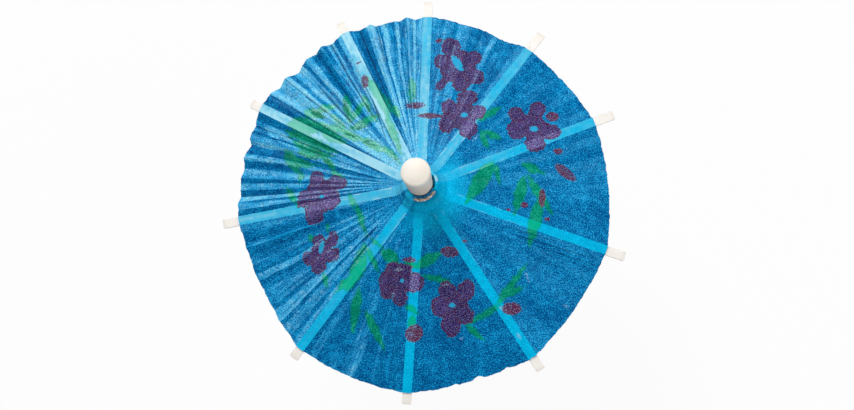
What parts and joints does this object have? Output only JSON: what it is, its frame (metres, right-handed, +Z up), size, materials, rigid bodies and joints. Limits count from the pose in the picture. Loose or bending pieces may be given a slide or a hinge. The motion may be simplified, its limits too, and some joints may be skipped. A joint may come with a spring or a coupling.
{
  "type": "cocktail umbrella pick",
  "caption": "Folding paper parasol on a pointed stick, with ribs, struts, a sliding runner and a domed finial, used to decorate a drink.",
  "frame": {"origin": "middle of the pick's straight lower shaft, on its axis", "axes": "+Z up the stick towards the finial; ribs fold down towards -Z"},
  "size_m": [0.1065, 0.109, 0.1153],
  "materials": {
    "pick_wood": "matte",
    "finial_cream": "satin",
    "collar_wood": "matte",
    "cotton_thread": "matte",
    "printed_paper": "matte",
    "rolled_paper": "matte",
    "retainer_plastic": "gloss",
    "rib_card": "matte"
  },
  "bodies": {
    "pick": {"pick_stick": "pick_wood", "finial_cap": "finial_cream", "crown_collar": "collar_wood", "crown_thread": "cotton_thread", "neck_paper": "printed_paper", "neck_binding": "cotton_thread"},
    "runner": {"runner_collar": "collar_wood", "runner_thread": "cotton_thread"},
    "sleeve": {"paper_sleeve": "rolled_paper"},
    "retainer": {"retainer_ring": "retainer_plastic"},
    "rib_01": {"rib_01": "rib_card", "strut_foot_01": "rib_card", "canopy_gore_01": "printed_paper"},
    "strut_01": {"strut_01": "rib_card"},
    "rib_02": {"rib_02": "rib_card", "strut_foot_02": "rib_card", "canopy_gore_02": "printed_paper"},
    "strut_02": {"strut_02": "rib_card"},
    "rib_03": {"rib_03": "rib_card", "strut_foot_03": "rib_card", "canopy_gore_03": "printed_paper"},
    "strut_03": {"strut_03": "rib_card"},
    "rib_04": {"rib_04": "rib_card", "strut_foot_04": "rib_card", "canopy_gore_04": "printed_paper"},
    "strut_04": {"strut_04": "rib_card"},
    "rib_05": {"rib_05": "rib_card", "strut_foot_05": "rib_card", "canopy_gore_05": "printed_paper"},
    "strut_05": {"strut_05": "rib_card"},
    "rib_06": {"rib_06": "rib_card", "strut_foot_06": "rib_card", "canopy_gore_06": "printed_paper"},
    "strut_06": {"strut_06": "rib_card"},
    "rib_07": {"rib_07": "rib_card", "strut_foot_07": "rib_card", "canopy_gore_07": "printed_paper"},
    "strut_07": {"strut_07": "rib_card"},
    "rib_08": {"rib_08": "rib_card", "strut_foot_08": "rib_card", "canopy_gore_08": "printed_paper"},
    "strut_08": {"strut_08": "rib_card"},
    "rib_09": {"rib_09": "rib_card", "strut_foot_09": "rib_card", "canopy_gore_09": "printed_paper"},
    "strut_09": {"strut_09": "rib_card"},
    "rib_10": {"rib_10": "rib_card", "strut_foot_10": "rib_card", "canopy_gore_10": "printed_paper"},
    "strut_10": {"strut_10": "rib_card"}
  },
  "joints": [
    {"name": "runner_slide", "type": "slide", "parent": "pick", "child": "runner", "axis": [0, 0, -1], "range_m": [0, 0.02915]},
    {"name": "sleeve_slide", "type": "slide", "parent": "pick", "child": "sleeve", "axis": [0, 0, -1], "range_m": [0, 0.02915]},
    {"name": "retainer_slide", "type": "slide", "parent": "pick", "child": "retainer", "axis": [0, 0, -1], "range_m": [0, 0.02915]},
    {"name": "rib_01_fold", "type": "hinge", "parent": "pick", "child": "rib_01", "pos_m": [0.00414, 0.00176, 0.0768], "axis": [-0.3907, 0.9205, 0], "range_deg": [0, 68], "deforming": ["canopy_gore_01"]},
    {"name": "strut_01_fold", "type": "hinge", "parent": "rib_01", "child": "strut_01", "pos_m": [0.02192, 0.0093, 0.07147], "axis": [0.3907, -0.9205, 0], "range_deg": [0, 136]},
    {"name": "rib_02_fold", "type": "hinge", "parent": "pick", "child": "rib_02", "pos_m": [0.00261, 0.00366, 0.0768], "axis": [-0.8141, 0.5807, 0], "range_deg": [0, 68], "deforming": ["canopy_gore_02"]},
    {"name": "strut_02_fold", "type": "hinge", "parent": "rib_02", "child": "strut_02", "pos_m": [0.01383, 0.01939, 0.07147], "axis": [0.8141, -0.5807, 0], "range_deg": [0, 136]},
    {"name": "rib_03_fold", "type": "hinge", "parent": "pick", "child": "rib_03", "pos_m": [0.00008, 0.0045, 0.0768], "axis": [-0.9998, 0.0175, 0], "range_deg": [0, 68], "deforming": ["canopy_gore_03"]},
    {"name": "strut_03_fold", "type": "hinge", "parent": "rib_03", "child": "strut_03", "pos_m": [0.00042, 0.02381, 0.07147], "axis": [0.9998, -0.0175, 0], "range_deg": [0, 136]},
    {"name": "rib_04_fold", "type": "hinge", "parent": "pick", "child": "rib_04", "pos_m": [-0.00194, 0.00406, 0.0768], "axis": [-0.9026, -0.4305, 0], "range_deg": [0, 68], "deforming": ["canopy_gore_04"]},
    {"name": "strut_04_fold", "type": "hinge", "parent": "rib_04", "child": "strut_04", "pos_m": [-0.01025, 0.02149, 0.07147], "axis": [0.9026, 0.4305, 0], "range_deg": [0, 136]},
    {"name": "rib_05_fold", "type": "hinge", "parent": "pick", "child": "rib_05", "pos_m": [-0.00392, 0.00222, 0.0768], "axis": [-0.4924, -0.8704, 0], "range_deg": [0, 68], "deforming": ["canopy_gore_05"]},
    {"name": "strut_05_fold", "type": "hinge", "parent": "rib_05", "child": "strut_05", "pos_m": [-0.02073, 0.01173, 0.07147], "axis": [0.4924, 0.8704, 0], "range_deg": [0, 136]},
    {"name": "rib_06_fold", "type": "hinge", "parent": "pick", "child": "rib_06", "pos_m": [-0.00447, -0.00055, 0.0768], "axis": [0.1219, -0.9925, 0], "range_deg": [0, 68], "deforming": ["canopy_gore_06"]},
    {"name": "strut_06_fold", "type": "hinge", "parent": "rib_06", "child": "strut_06", "pos_m": [-0.02364, -0.0029, 0.07147], "axis": [-0.1219, 0.9925, 0], "range_deg": [0, 136]},
    {"name": "rib_07_fold", "type": "hinge", "parent": "pick", "child": "rib_07", "pos_m": [-0.00283, -0.0035, 0.0768], "axis": [0.7771, -0.6293, 0], "range_deg": [0, 68], "deforming": ["canopy_gore_07"]},
    {"name": "strut_07_fold", "type": "hinge", "parent": "rib_07", "child": "strut_07", "pos_m": [-0.01499, -0.01851, 0.07147], "axis": [-0.7771, 0.6293, 0], "range_deg": [0, 136]},
    {"name": "rib_08_fold", "type": "hinge", "parent": "pick", "child": "rib_08", "pos_m": [-0.00039, -0.00448, 0.0768], "axis": [0.9962, -0.0872, 0], "range_deg": [0, 68], "deforming": ["canopy_gore_08"]},
    {"name": "strut_08_fold", "type": "hinge", "parent": "rib_08", "child": "strut_08", "pos_m": [-0.00208, -0.02372, 0.07147], "axis": [-0.9962, 0.0872, 0], "range_deg": [0, 136]},
    {"name": "rib_09_fold", "type": "hinge", "parent": "pick", "child": "rib_09", "pos_m": [0.00245, -0.00377, 0.0768], "axis": [0.8387, 0.5446, 0], "range_deg": [0, 68], "deforming": ["canopy_gore_09"]},
    {"name": "strut_09_fold", "type": "hinge", "parent": "rib_09", "child": "strut_09", "pos_m": [0.01297, -0.01997, 0.07147], "axis": [-0.8387, -0.5446, 0], "range_deg": [0, 136]},
    {"name": "rib_10_fold", "type": "hinge", "parent": "pick", "child": "rib_10", "pos_m": [0.00428, -0.00139, 0.0768], "axis": [0.309, 0.9511, 0], "range_deg": [0, 68], "deforming": ["canopy_gore_10"]},
    {"name": "strut_10_fold", "type": "hinge", "parent": "rib_10", "child": "strut_10", "pos_m": [0.02265, -0.00736, 0.07147], "axis": [-0.309, -0.9511, 0], "range_deg": [0, 136]}
  ],
  "couplings": [
    {"joint": "sleeve_slide", "follows": "runner_slide", "ratio": 1},
    {"joint": "retainer_slide", "follows": "runner_slide", "ratio": 1},
    {"joint": "rib_01_fold", "follows": "runner_slide", "rad_per_m": 40.721},
    {"joint": "strut_01_fold", "follows": "runner_slide", "rad_per_m": 81.443},
    {"joint": "rib_02_fold", "follows": "runner_slide", "rad_per_m": 40.721},
    {"joint": "strut_02_fold", "follows": "runner_slide", "rad_per_m": 81.443},
    {"joint": "rib_03_fold", "follows": "runner_slide", "rad_per_m": 40.721},
    {"joint": "strut_03_fold", "follows": "runner_slide", "rad_per_m": 81.443},
    {"joint": "rib_04_fold", "follows": "runner_slide", "rad_per_m": 40.721},
    {"joint": "strut_04_fold", "follows": "runner_slide", "rad_per_m": 81.443},
    {"joint": "rib_05_fold", "follows": "runner_slide", "rad_per_m": 40.721},
    {"joint": "strut_05_fold", "follows": "runner_slide", "rad_per_m": 81.443},
    {"joint": "rib_06_fold", "follows": "runner_slide", "rad_per_m": 40.721},
    {"joint": "strut_06_fold", "follows": "runner_slide", "rad_per_m": 81.443},
    {"joint": "rib_07_fold", "follows": "runner_slide", "rad_per_m": 40.721},
    {"joint": "strut_07_fold", "follows": "runner_slide", "rad_per_m": 81.443},
    {"joint": "rib_08_fold", "follows": "runner_slide", "rad_per_m": 40.721},
    {"joint": "strut_08_fold", "follows": "runner_slide", "rad_per_m": 81.443},
    {"joint": "rib_09_fold", "follows": "runner_slide", "rad_per_m": 40.721},
    {"joint": "strut_09_fold", "follows": "runner_slide", "rad_per_m": 81.443},
    {"joint": "rib_10_fold", "follows": "runner_slide", "rad_per_m": 40.721},
    {"joint": "strut_10_fold", "follows": "runner_slide", "rad_per_m": 81.443}
  ]
}
